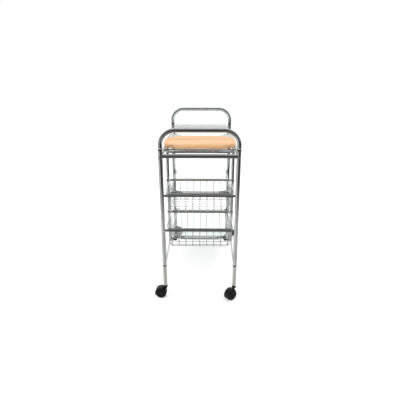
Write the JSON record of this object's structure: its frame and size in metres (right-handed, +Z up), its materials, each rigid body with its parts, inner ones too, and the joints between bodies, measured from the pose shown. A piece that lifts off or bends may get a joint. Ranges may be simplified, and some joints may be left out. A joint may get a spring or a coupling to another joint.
{
  "type": "kitchen island cart",
  "caption": "Narrow chrome-tube kitchen island cart on swivel casters, with a glass top, a wooden board, sliding wire baskets, glass shelves and a hoop handle at each end.",
  "frame": {"origin": "on the floor, under the middle of the cart", "axes": "+X across the cart to the right seen from the basket end, +Y along the cart away from the basket end, +Z up"},
  "size_m": [0.4504, 0.7782, 0.8535],
  "materials": {
    "chrome": "polished chrome plate on steel tube",
    "satin_chrome": "satin plated lower leg sections",
    "chrome_wire": "bright chrome-plated welded wire",
    "glass": "clear tempered glass with polished edges",
    "wood": "oiled beech, satin",
    "black_plastic": "black moulded plastic",
    "wheel_plastic": "black nylon wheel",
    "zinc_steel": "zinc plated steel"
  },
  "bodies": {
    "frame": {"far_cross_tube": "chrome", "far_hoop": "chrome", "glass_top": "glass", "hoop_connector_far_left": "black_plastic", "hoop_connector_far_right": "black_plastic", "hoop_connector_near_left": "black_plastic", "hoop_connector_near_right": "black_plastic", "leg_far_left": "chrome", "leg_far_right": "chrome", "leg_near_left": "chrome", "leg_near_right": "chrome", "lower_leg_far_left": "satin_chrome", "lower_leg_far_right": "satin_chrome", "lower_leg_near_left": "satin_chrome", "lower_leg_near_right": "satin_chrome", "mid_post_left": "chrome", "mid_post_right": "chrome", "mid_runner_rod_lower": "chrome", "mid_runner_rod_upper": "chrome", "near_cross_tube": "chrome", "near_hoop": "chrome", "near_runner_bar_lower": "chrome", "near_runner_bar_upper": "chrome", "rail_bolt_far_left": "zinc_steel", "rail_bolt_far_right": "zinc_steel", "rail_bolt_near_left": "zinc_steel", "rail_bolt_near_right": "zinc_steel", "shelf_clip_lower_left": "black_plastic", "shelf_clip_lower_right": "black_plastic", "shelf_clip_upper_left": "black_plastic", "shelf_clip_upper_right": "black_plastic", "shelf_glass_lower": "glass", "shelf_glass_upper": "glass", "shelf_tube_lower": "chrome", "shelf_tube_upper": "chrome", "side_rail_left": "chrome", "side_rail_right": "chrome", "top_frame": "chrome", "wood_board": "wood"},
    "upper_basket": {"basket_rim_upper": "chrome_wire", "basket_tub_upper": "chrome_wire"},
    "lower_basket": {"basket_rim_lower": "chrome_wire", "basket_tub_lower": "chrome_wire"},
    "caster_swivel_near_left": {"caster_body_near_left": "black_plastic"},
    "caster_wheels_near_left": {"caster_axle_near_left": "zinc_steel", "caster_wheel_a_near_left": "wheel_plastic", "caster_wheel_b_near_left": "wheel_plastic"},
    "caster_swivel_near_right": {"caster_body_near_right": "black_plastic"},
    "caster_wheels_near_right": {"caster_axle_near_right": "zinc_steel", "caster_wheel_a_near_right": "wheel_plastic", "caster_wheel_b_near_right": "wheel_plastic"},
    "caster_swivel_far_left": {"caster_body_far_left": "black_plastic"},
    "caster_wheels_far_left": {"caster_axle_far_left": "zinc_steel", "caster_wheel_a_far_left": "wheel_plastic", "caster_wheel_b_far_left": "wheel_plastic"},
    "caster_swivel_far_right": {"caster_body_far_right": "black_plastic"},
    "caster_wheels_far_right": {"caster_axle_far_right": "zinc_steel", "caster_wheel_a_far_right": "wheel_plastic", "caster_wheel_b_far_right": "wheel_plastic"}
  },
  "joints": [
    {"name": "upper_basket_slide", "type": "slide", "parent": "frame", "child": "upper_basket", "axis": [1, 0, 0], "range_m": [-0.15, 0.15]},
    {"name": "lower_basket_slide", "type": "slide", "parent": "frame", "child": "lower_basket", "axis": [1, 0, 0], "range_m": [-0.15, 0.15]},
    {"name": "near_left_swivel", "type": "hinge", "parent": "frame", "child": "caster_swivel_near_left", "pos_m": [-0.1715, -0.34, 0.069], "axis": [0, 0, 1], "continuous": true},
    {"name": "near_left_roll", "type": "hinge", "parent": "caster_swivel_near_left", "child": "caster_wheels_near_left", "pos_m": [-0.19345, -0.33847, 0.0265], "axis": [-0.0698, -0.9976, 0], "continuous": true},
    {"name": "near_right_swivel", "type": "hinge", "parent": "frame", "child": "caster_swivel_near_right", "pos_m": [0.1715, -0.34, 0.069], "axis": [0, 0, 1], "continuous": true},
    {"name": "near_right_roll", "type": "hinge", "parent": "caster_swivel_near_right", "child": "caster_wheels_near_right", "pos_m": [0.15515, -0.35472, 0.0265], "axis": [0.6691, -0.7431, 0], "continuous": true},
    {"name": "far_left_swivel", "type": "hinge", "parent": "frame", "child": "caster_swivel_far_left", "pos_m": [-0.1715, 0.34, 0.069], "axis": [0, 0, 1], "continuous": true},
    {"name": "far_left_roll", "type": "hinge", "parent": "caster_swivel_far_left", "child": "caster_wheels_far_left", "pos_m": [-0.15515, 0.35472, 0.0265], "axis": [-0.6691, 0.7431, 0], "continuous": true},
    {"name": "far_right_swivel", "type": "hinge", "parent": "frame", "child": "caster_swivel_far_right", "pos_m": [0.1715, 0.34, 0.069], "axis": [0, 0, 1], "continuous": true},
    {"name": "far_right_roll", "type": "hinge", "parent": "caster_swivel_far_right", "child": "caster_wheels_far_right", "pos_m": [0.19345, 0.33847, 0.0265], "axis": [0.0698, 0.9976, 0], "continuous": true}
  ]
}
